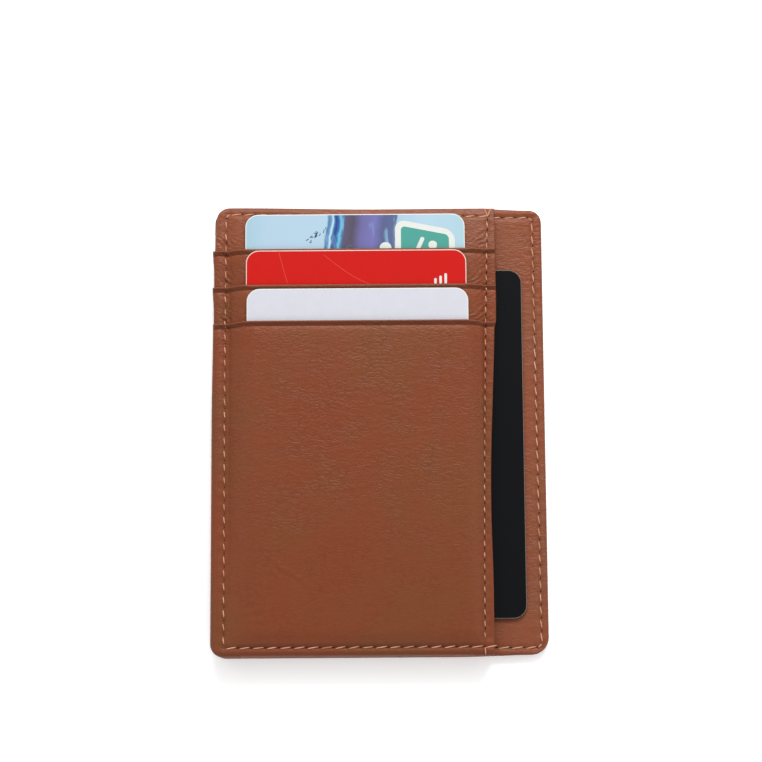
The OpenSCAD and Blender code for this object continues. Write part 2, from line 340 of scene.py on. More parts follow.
# a grid that is given thickness, and then each point is moved to its place by the piece's own formulas
def leatherPiece(name, xs, ys, faces, corners, shiftX, material, window=None, shiftY=noShift,
                 lipRadius=0.42, burnishAndPaintedLight=None):
    deselectAll()
    bpy.ops.mesh.primitive_grid_add(x_subdivisions=len(xs) - 1, y_subdivisions=len(ys) - 1, size=2)
    piece = bpy.context.object
    piece.name = name
    frameBox = (xs[0], ys[0], xs[-1], ys[-1])
    for v in piece.data.vertices:
        i = round((v.co.x + 1) / 2 * (len(xs) - 1))
        j = round((v.co.y + 1) / 2 * (len(ys) - 1))
        v.co = (xs[i], ys[j], 0)
    bpy.ops.object.mode_set(mode="EDIT")
    if window:
        bpy.ops.mesh.select_all(action="DESELECT")
        bpy.ops.object.mode_set(mode="OBJECT")
        x0, y0, x1, y1 = window
        for p in piece.data.polygons:
            p.select = x0 < p.center.x < x1 and y0 < p.center.y < y1
        bpy.ops.object.mode_set(mode="EDIT")
        bpy.ops.mesh.delete(type="FACE")
    bpy.ops.mesh.select_all(action="SELECT")
    bpy.ops.mesh.extrude_region_move(TRANSFORM_OT_translate={"value": (0, 0, 1)})
    bpy.ops.object.mode_set(mode="OBJECT")
    # a vertex attribute on the upper face: edge burnish, painted shade and painted highlights
    rubbedAndPaintedLight = piece.data.attributes.new("burnishAndPaintedLight", "FLOAT", "POINT")
    for v in piece.data.vertices:
        upper = v.co.z > 0.5
        u = (v.co.x - xs[0]) / (xs[-1] - xs[0])
        x, y, away = roundedCorner(v.co.x, v.co.y, frameBox, corners)
        left, right = shiftX(y)
        x += left * (1 - u) + right * u
        bottom, top = shiftY(x)
        y += top * smooth(0, ys[-1], y) + bottom * smooth(0, ys[0], y)
        low, high = faces(x, y)
        middle = (low + high) / 2
        turn = math.sqrt(max(0.02, 1 - max(0, 1 - away / lipRadius) ** 2))
        z = middle + ((high if upper else low) - middle) * turn
        v.co = (x * mm, y * mm, z * mm)
        if burnishAndPaintedLight and upper:
            rubbedAndPaintedLight.data[v.index].value = burnishAndPaintedLight(x, y)
    bpy.ops.object.mode_set(mode="EDIT")
    bpy.ops.mesh.select_all(action="SELECT")
    bpy.ops.mesh.normals_make_consistent(inside=False)
    bpy.ops.object.mode_set(mode="OBJECT")
    bpy.ops.object.shade_smooth()
    piece.data.materials.clear()
    piece.data.materials.append(material)
    print("made", name, len(piece.data.polygons), "faces")
    return piece


# materials

def colour(hexValue):
    channels = [int(hexValue[k:k + 2], 16) / 255 for k in (1, 3, 5)]
    linear = [c / 12.92 if c <= 0.04045 else ((c + 0.055) / 1.055) ** 2.4 for c in channels]
    return (*linear, 1)


# adds a node with its settings, input values, input links and ramp stops, and gives back one of its outputs
def addNode(tree, kind, settings=None, values=None, links=None, stops=(), out=0):
    node = tree.nodes.new("ShaderNode" + kind)
    for key, value in (settings or {}).items():
        setattr(node, key, value)
    for key, value in (values or {}).items():
        node.inputs[key].default_value = value
    for key, source in (links or {}).items():
        tree.links.new(source, node.inputs[key])
    if stops:
        elements = node.color_ramp.elements
        while len(elements) < len(stops):
            elements.new(0.5)
        for element, (position, value) in zip(elements, stops):
            element.position = position
            element.color = colour(value) if isinstance(value, str) else (value, value, value, 1)
    return node.outputs[out]


# a new material, its node tree and its shader, whose even values are set on its own sockets
def newMaterial(name, values):
    material = bpy.data.materials.new(name)
    material.use_nodes = True
    shader = material.node_tree.nodes["Principled BSDF"]
    for key, value in values.items():
        shader.inputs[key].default_value = value
    return material, material.node_tree, shader


def linkShader(tree, shader, links):
    for key, source in links.items():
        tree.links.new(source, shader.inputs[key])


# a Mix node's colours go in sockets 6 and 7, the amount in 0, and the mixed colour comes out of 2
multiply = {"data_type": "RGBA", "blend_type": "MULTIPLY"}

# semi-aniline cowhide, tumbled and lightly polished: a satin red-brown tan with fine wavy cross creases
# the burnish amount scales the edge burnish and the painted shade and highlights
leatherLook = {
    "warm": "#71361C", "mid": "#70381E", "olive": "#6D3A1E", "toneMm": 16, "patchMm": 7, "poreMm": 0.3,
    "creaseMm": (2.3, 0.95), "swellMm": (3.0, 0.9), "bendMm": 3.5, "bendBy": 0.0022,
    "creaseDeep": 0.00007, "swellHigh": 0.00011, "poreDeep": 0.000025,
    "roughness": 0.44, "specular": 0.22, "burnishAndPaintedLight": 0.3, "smoothBelow": (-0.046, -0.006),
}

# the same hide for the layers behind, painted a little paler as a painted sheen from the light they catch,
# and creased all over
sheenPaintedLook = {
    **leatherLook, "warm": "#793E24", "mid": "#784027", "olive": "#754129",
    "specular": 0.26, "smoothBelow": (-0.09, -0.08),
}


def leatherMaterial(name, look):
    material, tree, shader = newMaterial(name, {"IOR": 1.46, "Specular IOR Level": look["specular"]})
    where = addNode(tree, "TexCoord", out="Object")
    noises = {}
    for key, detail in (("toneMm", 2), ("bendMm", 2), ("patchMm", 3), ("poreMm", 1)):
        values = {"Scale": 1000 / look[key], "Detail": detail}
        noises[key] = addNode(tree, "TexNoise", values=values, links={"Vector": where},
                              out="Color" if key == "bendMm" else "Fac")

    # the creases and swells are wider than high, and a soft noise bends them so that they wander
    offset = addNode(tree, "VectorMath", {"operation": "SCALE"}, {3: look["bendBy"]},
                     {0: noises["bendMm"]})
    bent = addNode(tree, "VectorMath", {"operation": "ADD"}, links={0: where, 1: offset})
    creasePlace, swellPlace = (
        addNode(tree, "Mapping", values={"Scale": (1000 / long, 1000 / short, 1000 / short)},
                links={"Vector": bent})
        for long, short in (look["creaseMm"], look["swellMm"]))
    cells = addNode(tree, "TexVoronoi", {"feature": "DISTANCE_TO_EDGE"}, {"Scale": 1},
                    {"Vector": creasePlace}, out="Distance")
    lines = addNode(tree, "ValToRGB", links={"Fac": cells},
                    stops=[(0.0, 1.0), (0.06, 0.55), (0.2, 0.0)])
    patchy = addNode(tree, "ValToRGB", links={"Fac": noises["patchMm"]},
                     stops=[(0.3, 0.15), (0.68, 0.95)])
    linesHere = addNode(tree, "Mix", multiply, {0: 1.0}, {6: lines, 7: patchy}, out=2)
    swell = addNode(tree, "TexNoise", values={"Scale": 1, "Detail": 3, "Roughness": 0.6},
                    links={"Vector": swellPlace})

    # the dye is slightly uneven, pores and creases get a painted shade, and the vertex attribute darkens the
    # leather with burnish and painted shade and lightens it with painted highlights
    dyed = addNode(tree, "ValToRGB", links={"Fac": noises["toneMm"]},
                   stops=[(0.35, look["warm"]), (0.5, look["mid"]), (0.65, look["olive"])])
    creaseShade = addNode(tree, "ValToRGB", links={"Fac": linesHere}, stops=[(0.0, 1.0), (1.0, 0.86)])
    poreShade = addNode(tree, "ValToRGB", links={"Fac": noises["poreMm"]},
                       stops=[(0.3, 0.93), (0.5, 1.0)])
    rubbedAndPaintedLight = addNode(tree, "Attribute", {"attribute_name": "burnishAndPaintedLight"}, out="Fac")
    burnishAndLightTint = addNode(tree, "Math", {"operation": "MULTIPLY_ADD"},
                     {1: -look["burnishAndPaintedLight"], 2: 1.0}, {0: rubbedAndPaintedLight})
    shaded = dyed
    for tint in (creaseShade, poreShade, burnishAndLightTint):
        shaded = addNode(tree, "Mix", multiply, {0: 1.0}, {6: shaded, 7: tint}, out=2)

    # the relief is weaker towards the smooth lower end
    height = addNode(tree, "SeparateXYZ", links={"Vector": where}, out="Y")
    low, high = look["smoothBelow"]
    span = {"From Min": low, "From Max": high, "To Min": 0.3, "To Max": 1.0}
    relief = addNode(tree, "MapRange", values=span, links={"Value": height})
    links = {}
    for source, deep, invert in (
        (noises["poreMm"], look["poreDeep"], False), (swell, look["swellHigh"], False),
        (linesHere, look["creaseDeep"], True),
    ):
        links.update({"Height": source, "Strength": relief})
        links["Normal"] = addNode(tree, "Bump", {"invert": invert}, {"Distance": deep}, links)
    rough = addNode(tree, "ValToRGB", links={"Fac": swell},
                    stops=[(0.3, look["roughness"] + 0.06), (0.7, look["roughness"] - 0.04)])
    linkShader(tree, shader, {"Base Color": shaded, "Normal": links["Normal"], "Roughness": rough})
    return material


# bonded polyester sewing thread, twisted from plies about 0.35 mm apart: soft lustre, pale tan
def threadMaterial():
    material, tree, shader = newMaterial("BondedPolyesterThread", {"Roughness": 0.5, "Sheen Weight": 0.3})
    where = addNode(tree, "TexCoord", out="Object")
    plies = addNode(tree, "TexWave", {"bands_direction": "DIAGONAL"},
                    {"Scale": 900, "Distortion": 1.5}, {"Vector": where}, out="Fac")
    patch = addNode(tree, "TexNoise", values={"Scale": 220}, links={"Vector": where})
    tint = addNode(tree, "ValToRGB", links={"Fac": patch},
                   stops=[(0.3, "#A06636"), (0.5, "#B47D55"), (0.7, "#C89070")])
    bump = addNode(tree, "Bump", values={"Strength": 0.5, "Distance": 0.00005},
                   links={"Height": plies})
    linkShader(tree, shader, {"Base Color": tint, "Normal": bump})
    return material


# a dark bead painted as the shade inside a needle hole in the leather
def holeShadeMaterial():
    material, tree, shader = newMaterial("NeedleHolePaintedShade", {"Roughness": 0.95, "Specular IOR Level": 0.1})
    where = addNode(tree, "TexCoord", out="Object")
    patch = addNode(tree, "TexNoise", values={"Scale": 600}, links={"Vector": where})
    tint = addNode(tree, "ValToRGB", links={"Fac": patch}, stops=[(0.3, "#2A120A"), (0.7, "#3E1C10")])
    linkShader(tree, shader, {"Base Color": tint})
    return material


# plain-woven polyester: threads that lie the spacing apart, in millimetres, cross as fine ribs
def wovenMaterial(name, dark, light, spacing):
    material, tree, shader = newMaterial(name, {"Roughness": 0.8, "Sheen Weight": 0.2})
    where = addNode(tree, "TexCoord", out="Object")
    ribs = {"Scale": 1000 / spacing / 3.14}  # a wave of scale 1 repeats every 0.314 m
    warp = addNode(tree, "TexWave", {"bands_direction": "X"}, ribs, {"Vector": where}, out="Fac")
    weft = addNode(tree, "TexWave", {"bands_direction": "Y"}, ribs, {"Vector": where}, out="Fac")
    both = addNode(tree, "Math", {"operation": "MULTIPLY"}, links={0: warp, 1: weft})
    tint = addNode(tree, "ValToRGB", links={"Fac": both}, stops=[(0.0, dark), (1.0, light)])
    bump = addNode(tree, "Bump", values={"Strength": 0.4, "Distance": 0.00005},
                   links={"Height": both})
    linkShader(tree, shader, {"Base Color": tint, "Normal": bump})
    return material


# grey card board, calendered: matt, with paper fibres
def boardMaterial():
    material, tree, shader = newMaterial("CalenderedCardBoard", {"Roughness": 0.9})
    where = addNode(tree, "TexCoord", out="Object")
    fibre = addNode(tree, "TexNoise", values={"Scale": 900, "Detail": 5, "Distortion": 2},
                    links={"Vector": where})
    tint = addNode(tree, "ValToRGB", links={"Fac": fibre}, stops=[(0.3, "#8C7B60"), (0.7, "#AC9C80")])
    linkShader(tree, shader, {"Base Color": tint})
    return material


# the PVC of a laminated card: an even print, a little dulled by the film over it, under a soft gloss
pvc = {"print": 0.66, "speck": 0.02, "ior": 1.53, "specular": 0.2}


# an even face or core, with a slight orange peel
def cardMaterial(name, tint, roughness=0.3):
    material, tree, shader = newMaterial(
        name, {"Roughness": roughness, "IOR": pvc["ior"], "Specular IOR Level": pvc["specular"]})
    where = addNode(tree, "TexCoord", out="Object")
    peel = addNode(tree, "TexNoise", values={"Scale": 350, "Detail": 2}, links={"Vector": where})
    shade = addNode(tree, "ValToRGB", links={"Fac": peel},
                    stops=[(0.3, pvc["print"] - pvc["speck"]), (0.7, pvc["print"])])
    even = addNode(tree, "Mix", multiply, {0: 1.0, 6: colour(tint)}, {7: shade}, out=2)
    bump = addNode(tree, "Bump", values={"Strength": 0.15, "Distance": 0.00003},
                   links={"Height": peel})
    linkShader(tree, shader, {"Base Color": even, "Normal": bump})
    return material


tan = leatherMaterial("TumbledTanCowhide", leatherLook)
# a paler copy of the leather, with a painted sheen
sheenPaintedTan = leatherMaterial("SheenPaintedTumbledTanCowhide", sheenPaintedLook)
threadLook = threadMaterial()
holeShadeLook = holeShadeMaterial()
fabricLook = wovenMaterial("WovenPolyesterLining", "#2E1C15", "#5A3B2E", 0.3)
tapeLook = wovenMaterial("WovenStayTape", "#B9B3A4", "#E2DDD0", 0.4)
boardLook = boardMaterial()
print("materials ready")

# the camera, in millimetres and degrees: it looks down on the wallet, tilted from its lower end

view = {"distance": 600, "tilt": 10.23, "aim": (0.6, 12.47), "lens": 115.45, "roll": 0.4}


def placeCamera():
    tilt = math.radians(view["tilt"])
    roll = math.radians(view["roll"])
    right = Vector((1, 0, 0))
    up = Vector((0, math.cos(tilt), math.sin(tilt)))
    back = Vector((0, -math.sin(tilt), math.cos(tilt)))
    rightRolled = right * math.cos(roll) - up * math.sin(roll)
    upRolled = right * math.sin(roll) + up * math.cos(roll)
    camera = bpy.data.objects.new("Camera", bpy.data.cameras.new("Camera"))
    bpy.context.collection.objects.link(camera)
    camera.data.lens = view["lens"]
    camera.data.sensor_width = 36
    camera.data.clip_start = 0.01
    aim = Vector((view["aim"][0], view["aim"][1], 0))
    turn = Matrix((rightRolled, upRolled, back)).transposed()
    camera.matrix_world = Matrix.Translation((aim + back * view["distance"]) * mm) @ turn.to_4x4()
    bpy.context.scene.camera = camera


placeCamera()

# base: back panel and slot facing

corner = 3.2
outline = {"topLeftRise": 0.6, "topRightFall": 0.5, "bottomRightRise": 0.45, "leftTaper": 0.45}


# how far the outline leans from a rectangle: at the left and right, and at the bottom and top
def sideShift(y):
    return outline["leftTaper"] * smooth(44, wallet["top"], y), 0


def endShift(x):
    top = 0.08 + outline["topLeftRise"] * smooth(0, -36, x) - outline["topRightFall"] * smooth(26, 37, x)
    return outline["bottomRightRise"] * smooth(18, 38, x), top


# the back's outer face: how deep its seam is pressed in, and how its edge rounds up
backShape = {"press": 0.3, "pressWidth": 0.5, "edge": 0.6, "edgeWidth": 1.5}


def backFaces(x, y):
    inside = min(x - wallet["left"], wallet["right"] - x, y - wallet["bottom"], wallet["top"] - y)
    near = min(s[0] for s in seamDistances(x, y))
    under = backShape["press"] * bell(near, backShape["pressWidth"])
    under += backShape["edge"] * max(0, 1 - inside / backShape["edgeWidth"]) ** 2.2
    under += 0.02 + creases(x, y, 41) * 0.5 if inside > 1.2 else 0.02
    over = (base["seamZ"] - pressed(x, y, False)) * edgeRoll(x, y)
    return max(under, 0.0), over - 0.01


backXs, backYs = (
    withEdges([(low, low + 5, 0.3), (low + 5, high - 5, 0.8), (high - 5, high, 0.3)])
    for low, high in ((wallet["left"], wallet["right"]), (wallet["bottom"], wallet["top"])))
allRound = {"bottomLeft": corner, "bottomRight": corner + 1, "topLeft": corner - 0.3, "topRight": corner}
backPanel = leatherPiece("backPanel", backXs, backYs, backFaces, allRound, sideShift, tan, shiftY=endShift)


# short gathers across the slot's leather, drawn in by the side seam
wrinkle = {"height": 0.09, "reach": 4.5, "length": 3.2, "width": 0.62}


def slotWrinkle(x, y):
    near = bell(x - rightSeamX(y), wrinkle["reach"]) * (0.45 + 0.55 * smooth(5, 40, y))
    bend = 0.9 * noise.noise(Vector((x / 4, y / 4, 2)))
    waves = noise.noise(Vector((x / wrinkle["length"], (y + bend) / wrinkle["width"], 9)))
    return wrinkle["height"] * near * waves


def slotFaces(x, y):
    out = smooth(-0.3, 0.6, x - freeEdgeX(y))
    surface = baseSurface(x, y) + out * (creases(x, y, 12) * 1.2 + slotWrinkle(x, y))
    return (base["seamZ"] - pressed(x, y, False)) * edgeRoll(x, y), surface


slotLeft = boxOf("slot_facing")[0][0]
slotXs = withEdges([(slotLeft, 26, 1.6), (26, wallet["right"], 0.3)], atStart=False)
slotYs = withEdges([(wallet["bottom"], 15, 0.36), (15, wallet["top"], 0.24)])
# the slot's leather takes the paler copy with the painted sheen
slotFacing = leatherPiece(
    "slotFacing", slotXs, slotYs, slotFaces, {"bottomRight": corner + 1, "topRight": corner}, noShift,
    sheenPaintedTan, shiftY=endShift, burnishAndPaintedLight=lambda x, y: burnishAndPaintedLightAt(0, x, y))

# pocket base and facings

# at the left, the top and middle facings stand out just below their mouths and draw back further down,
# and the front starts in and spreads out
sideSteps = {"out": 0.1, "back": 0.3, "length": 6, "frontSpread": 0.22, "frontLength": 25}


def facingShift(i):
    def shift(y):
        right = freeEdgeX(y) - freeEdge["top"]
        if i == 4:
            below = max(0, mouths[2] - y)
            spread = sideSteps["frontSpread"] * smooth(0, sideSteps["frontLength"], below)
            return sideSteps["out"] - spread, right
        right += freeEdge["under"] * smooth(mouths[2] - 1.5, mouths[2] + 0.5, y)
        if i == 1:
            return sideShift(y)[0], right
        below = max(0, mouths[i - 2] - y)
        return sideSteps["back"] * smooth(0.5, sideSteps["length"], below) - sideSteps["out"], right
    return shift


# above a layer's flat face, where a card slides: the room for the card, the front's lining over it, and
# how far the leather itself may swell up into that room, under the card and further up beside it
gap = {"card": 0.95, "front": 0.2, "under": 0.07, "beside": 0.8}
# the thinnest that leather is drawn out over a card, and the front's hem, which closes the bottom edge
thin = {"base": 0.3, "facing": 0.12, "hem": 0.42}


def flatFace(i, y):
    roof, roofY = roofs[i - 1]
    return roof + leans[i - 1] * (y - roofY)


# how high the leather may stand where the next card slides over it
def underCard(i, x, y):
    aside = max(pocket["low"][0] - x, x - pocket["high"][0])
    return flatFace(i, y) + gap["under"] + gap["beside"] * smooth(0.1, 1.6, aside)


def facingFaces(i):
    last = i == 4
    mouthY = None if i == 1 else mouths[i - 2]
    coveredBelow = None if last else mouths[i - 1]

    def faces(x, y):
        high = layerTop(i, x, y)
        if i == 1:
            step = smooth(slotLeft - 1, slotLeft + 1, x)
            seat = liningTop + (baseTop - pressed(x, y, False) - liningTop) * step
            lift = smooth(pocket["low"][0] - 2, pocket["low"][0], x)
            lift *= smooth(wallet["bottom"] + 2, pocket["low"][1], y)
            lift *= smooth(wallet["top"] - 2, wallet["top"] - 4, y)
            low = seat * edgeRoll(x, y) + (roofs[0][0] - leatherThick - seat) * lift
            low = min(low, high - thin["base"])
        else:
            low = max(high - leatherThick, layerTop(i - 1, x, y) + 0.01)
            inPocket = pocket["low"][0] < x < pocket["high"][0]
            foot = pocket["low"][1] - 0.1
            if last and inPocket and y < foot:
                low = layerTop(1, x, y) + thin["hem"]
            if inPocket and y > foot:
                cardTop = flatFace(i - 1, y) + gap["card"] + (gap["front"] if last else 0)
                low = min(max(low, cardTop), high - thin["facing"])
        shown = 1 if last else smooth(coveredBelow - 0.2, coveredBelow + 0.7, y)
        detail = creases(x, y, 20 + i) + puckers(x, y)
        if last:
            detail += foldLines(x, y)
        if mouthY is not None:
            detail += lipShape(mouthY - y)
        top = high + shown * detail
        if not last:
            top = min(top, underCard(i, x, y))
        return low, top
    return faces


# lines of vertices: close together at the edges, the seams and the mouth, and wide where leather covers them
def facingXs(left, middleStep):
    return withEdges([(left, left + 8, 0.27), (left + 8, 20, middleStep), (20, freeEdge["top"], 0.27)])


def facingYs(top, coveredTo):
    low, high = wallet["bottom"] + 5, top - 2.6
    if coveredTo:
        segments = [(wallet["bottom"], low, 0.8), (low, coveredTo - 1, 2.5), (coveredTo - 1, high, 0.24)]
    else:
        segments = [(wallet["bottom"], low, 0.3), (low, top - 7, 0.42), (top - 7, high, 0.26)]
    return withEdges(segments + [(high, top, 0.12)])


# over their cards, the top and middle facings are leather only this far below their mouths: lining carries on
facingDeep = 30
windows = [None] + [
    (pocket["low"][0], wallet["bottom"] - 1, pocket["high"][0], mouth - facingDeep) for mouth in mouths[:2]
] + [None]
tops = [wallet["top"]] + mouths
coveredTo = mouths + [None]
pieceNames = ["pocketBase", "topFacing", "middleFacing", "frontPanel"]
facings = []
for i in range(1, 5):
    left = wallet["left"] if i == 1 else facingLeft
    rounds = {"bottomLeft": corner}
    if i == 1:
        rounds["topLeft"] = corner
    # the pocket base takes the paler copy with the painted sheen
    piece = leatherPiece(
        pieceNames[i - 1], facingXs(left, 0.45 if i == 4 else 0.8), facingYs(tops[i - 1], coveredTo[i - 1]),
        facingFaces(i), rounds, facingShift(i), sheenPaintedTan if i == 1 else tan, window=windows[i - 1],
        shiftY=endShift if i == 1 else noShift, burnishAndPaintedLight=lambda x, y: burnishAndPaintedLightAt(i, x, y))
    facings.append(piece)

# fabric under the front leather, over the white card
lining = {"side": 0.8, "bottom": 1.1, "mouth": 1.8, "thick": 0.16}


def frontLiningFaces(x, y):
    low = flatFace(3, y) + gap["card"]
    return low + 0.01, low + lining["thick"]


liningXs = withEdges([(pocket["low"][0] + lining["side"], pocket["high"][0] - lining["side"], 1.5)])
liningYs = withEdges([(pocket["low"][1] + lining["bottom"], mouths[2] - lining["mouth"], 1.5)])
frontLining = leatherPiece(
    "frontLining", liningXs, liningYs, frontLiningFaces, {}, noShift, fabricLook, lipRadius=0.05)

# the tape turned into the front mouth, and how far its faces lie below the leather's
tape = {"side": 3.5, "mouth": 1.6, "wide": 4.4, "low": 0.64, "high": 0.5}


def frontTapeFaces(x, y):
    skin = layerTop(4, x, y)
    return skin - tape["low"], skin - tape["high"]


tapeXs = withEdges([(pocket["low"][0] + tape["side"], pocket["high"][0] - tape["side"], 1.5)])
tapeYs = withEdges([(mouths[2] - tape["mouth"] - tape["wide"], mouths[2] - tape["mouth"], 0.8)])
frontTape = leatherPiece(
    "frontTape", tapeXs, tapeYs, frontTapeFaces, {}, noShift, tapeLook, lipRadius=0.05)

# stitching

stitchLook = {"radius": 0.165, "segments": 8, "rings": 6}
holeShape = {"radius": 0.14, "deep": 0.07, "proud": 0.02, "aside": 0.12}


# one stitch or needle hole: a spindle along X, which each copy stretches
def makeStitch(name, material, scale):
    deselectAll()
    bpy.ops.mesh.primitive_uv_sphere_add(
        segments=stitchLook["segments"], ring_count=stitchLook["rings"], radius=1)
    piece = bpy.context.object
    piece.name = name
    bpy.ops.object.mode_set(mode="EDIT")
    bpy.ops.mesh.select_all(action="SELECT")
    bpy.ops.transform.rotate(value=math.pi / 2, orient_axis="Y", center_override=(0, 0, 0))
    bpy.ops.transform.resize(value=[s * mm for s in scale], center_override=(0, 0, 0))
    bpy.ops.object.mode_set(mode="OBJECT")
    bpy.ops.object.shade_smooth()
    piece.data.materials.append(material)
    return piece


def placeCopy(source, where, turn, tilt=0, stretch=1):
    copy = source.copy()
    copy.data = source.data.copy()
    bpy.context.collection.objects.link(copy)
    turned = Matrix.Rotation(turn, 4, "Z") @ Matrix.Rotation(tilt, 4, "Y")
    matrix = Matrix.Translation(Vector(where) * mm) @ turned
    copy.data.transform(matrix @ Matrix.Diagonal((stretch, 1, 1, 1)))
    return copy


def joinAll(parts, name):
    deselectAll()
    for part in parts:
        part.select_set(True)
    bpy.context.view_layer.objects.active = parts[0]
    bpy.ops.object.join()
    joined = bpy.context.object
    joined.name = name
    print("made", name, len(joined.data.polygons), "faces")
    return joined


# the layer that is uppermost at this place: 0 is the slot's floor, 4 the front
def exposedLayer(x, y):
    if x > freeEdgeX(y) + freeEdge["under"]:
        return 0
    return 1 + sum(y < m for m in mouths)


def surfaceAt(x, y):
    layer = exposedLayer(x, y)
    return layerTop(layer, x, y) if layer else baseSurface(x, y)


def evenly(start, end, pitch):
    count = round((end - start) / pitch)
    return [start + (k + 0.5) * (end - start) / count for k in range(count)]


# one seam: slanted stitches that dip at both ends into dark beads of painted shade at the needle holes
def sewSeam(points, turn, style, surface, parts):
    for x, y in points:
        slant = turn + style["slant"] + random.uniform(-0.05, 0.05)
        length = style["length"] * random.uniform(0.92, 1.08)
        parts.append(placeCopy(stitch, (x, y, surface(x, y) + style["proud"]), slant, stretch=length / 2))
        holeX = x + math.cos(turn) * style["pitch"] / 2 + math.sin(turn) * holeShape["aside"]
        holeY = y + math.sin(turn) * style["pitch"] / 2 + math.cos(turn) * holeShape["aside"]
        holeZ = surface(holeX, holeY) + holeShape["proud"]
        parts.append(placeCopy(hole, (holeX, holeY, holeZ), turn, stretch=style["holeLength"]))


stitch = makeStitch("stitch", threadLook, (1, stitchLook["radius"], stitchLook["radius"]))
# the needle holes are dark beads of painted shade
hole = makeStitch("hole", holeShadeLook, (holeShape["radius"], holeShape["radius"], holeShape["deep"]))
styles = {
    "left": {"slant": 0.14, "length": 1.7, "proud": -0.03, "pitch": seam["pitch"], "holeLength": 1.0},
    "bottom": {"slant": 0.17, "length": 2.7, "proud": 0.06, "pitch": seam["pitch"], "holeLength": 3.0},
    "right": {"slant": 0.16, "length": 2.1, "proud": 0.02, "pitch": seam["pitch"], "holeLength": 2.0},
    "top": {"slant": 0.14, "length": 2.3, "proud": 0.03, "pitch": seam["pitch"], "holeLength": 2.0},
    "slot": {"slant": 0.14, "length": 1.55, "proud": -0.02, "pitch": seam["slotPitch"], "holeLength": 3.2},
    "back": {"slant": 0.14, "length": 2.5, "proud": -0.06, "pitch": seam["pitch"], "holeLength": 1.6},
}
quarter = math.pi / 2
# how far from the corners the rows start and end
turnIn = 0.9
leftTop, rightTop = topSeamY(seam["left"]), topSeamY(38)
rightLow, rightHigh = rightSeamX(-50), rightSeamX(50)
leftYs = evenly(seam["bottom"] + 0.2, leftTop - turnIn, seam["pitch"])
rightYs = evenly(seam["bottom"] + turnIn, rightTop - turnIn, seam["pitch"])
bottomXs = evenly(seam["left"] + 0.2, rightLow - turnIn, seam["pitch"])
topXs = evenly(seam["left"] + turnIn, rightHigh - turnIn, seam["pitch"])


def backSurface(x, y):
    return backFaces(x, y)[0]


perimeterParts = []
for name, points, turn in (
    ("left", [(seam["left"], y) for y in leftYs], quarter),
    ("right", [(rightSeamX(y), y) for y in rightYs], quarter),
    ("bottom", [(x, seam["bottom"]) for x in bottomXs], 0),
    ("top", [(x, topSeamY(x)) for x in topXs], 0),
):
    sewSeam(points, turn, styles[name], surfaceAt, perimeterParts)
    sewSeam(points, turn, styles["back"], backSurface, perimeterParts)

# one short stitch turns each corner but the bottom left, where two rows meet
cornerStitch = {"in": 0.4, "proud": 0.04, "half": 0.6}
for x, y, turn in (
    (seam["left"] + cornerStitch["in"], leftTop - cornerStitch["in"], 0.8),
    (rightHigh - cornerStitch["in"], rightTop - cornerStitch["in"], 2.3),
    (rightLow - cornerStitch["in"], seam["bottom"] + cornerStitch["in"], 0.8),
):
    place = (x, y, surfaceAt(x, y) + cornerStitch["proud"])
    perimeterParts.append(placeCopy(stitch, place, turn, stretch=cornerStitch["half"]))
perimeterSeam = joinAll(perimeterParts, "perimeterSeam")

slotParts = []
sewnYs = evenly(wallet["bottom"] + 3.6, wallet["top"] - 3, seam["slotPitch"])
sewSeam([(slotSeamX(y), y) for y in sewnYs], quarter, styles["slot"], surfaceAt, slotParts)

# the seam's ends go over the top and bottom edges
topEnd = (slotSeamX(wallet["top"]), wallet["top"] - 2.2)
bottomEnd = (slotSeamX(wallet["bottom"]), wallet["bottom"] + 2)
for endX, endY, stepX, stepY in ((*topEnd, -0.8, 2.1), (*topEnd, 0.8, 2.1), (*bottomEnd, 0.15, -1.9)):
    midX = endX + stepX / 2
    midY = endY + stepY / 2
    length = math.hypot(stepX, stepY)
    lean = (surfaceAt(endX, endY) - surfaceAt(endX + stepX, endY + stepY)) / length
    place = (midX, midY, surfaceAt(midX, midY) + 2 * cornerStitch["proud"])
    slotParts.append(placeCopy(
        stitch, place, math.atan2(stepY, stepX), tilt=math.atan(lean), stretch=length / 2))
slotSeam = joinAll(slotParts, "slotSeam")
for spare in (stitch, hole):
    bpy.data.objects.remove(spare)

# cards

cardShape = {"length": 85.6, "thick": 0.76, "radius": 3.18, "border": 0.15, "bevel": 0.07}


# leaves the piece in edit mode with only the faces selected that pass the test
def selectFaces(piece, test):
    bpy.ops.object.mode_set(mode="EDIT")
    bpy.ops.mesh.select_mode(type="FACE")
    bpy.ops.mesh.select_all(action="DESELECT")
    bpy.ops.object.mode_set(mode="OBJECT")
    for p in piece.data.polygons:
        p.select = test(p)
    bpy.ops.object.mode_set(mode="EDIT")


# a flat plate with round corners, from z to z + thick, in millimetres about its own middle
def roundPlate(name, centre, size, radius, thick, z=0):
    deselectAll()
    bpy.ops.mesh.primitive_plane_add(size=1)
    plate = bpy.context.object
    plate.name = name
    bpy.ops.object.mode_set(mode="EDIT")
    bpy.ops.mesh.select_all(action="SELECT")
    bpy.ops.transform.resize(value=(size[0] * mm, size[1] * mm, 1), center_override=(0, 0, 0))
    bpy.ops.mesh.bevel(offset=radius * mm, offset_pct=0, segments=10, affect="VERTICES")
    bpy.ops.mesh.select_all(action="SELECT")
    bpy.ops.mesh.extrude_region_move(TRANSFORM_OT_translate={"value": (0, 0, thick * mm)})
    bpy.ops.mesh.select_all(action="SELECT")
    bpy.ops.mesh.normals_make_consistent(inside=False)
    bpy.ops.transform.translate(value=(centre[0] * mm, centre[1] * mm, z * mm))
    bpy.ops.object.mode_set(mode="OBJECT")
    return plate


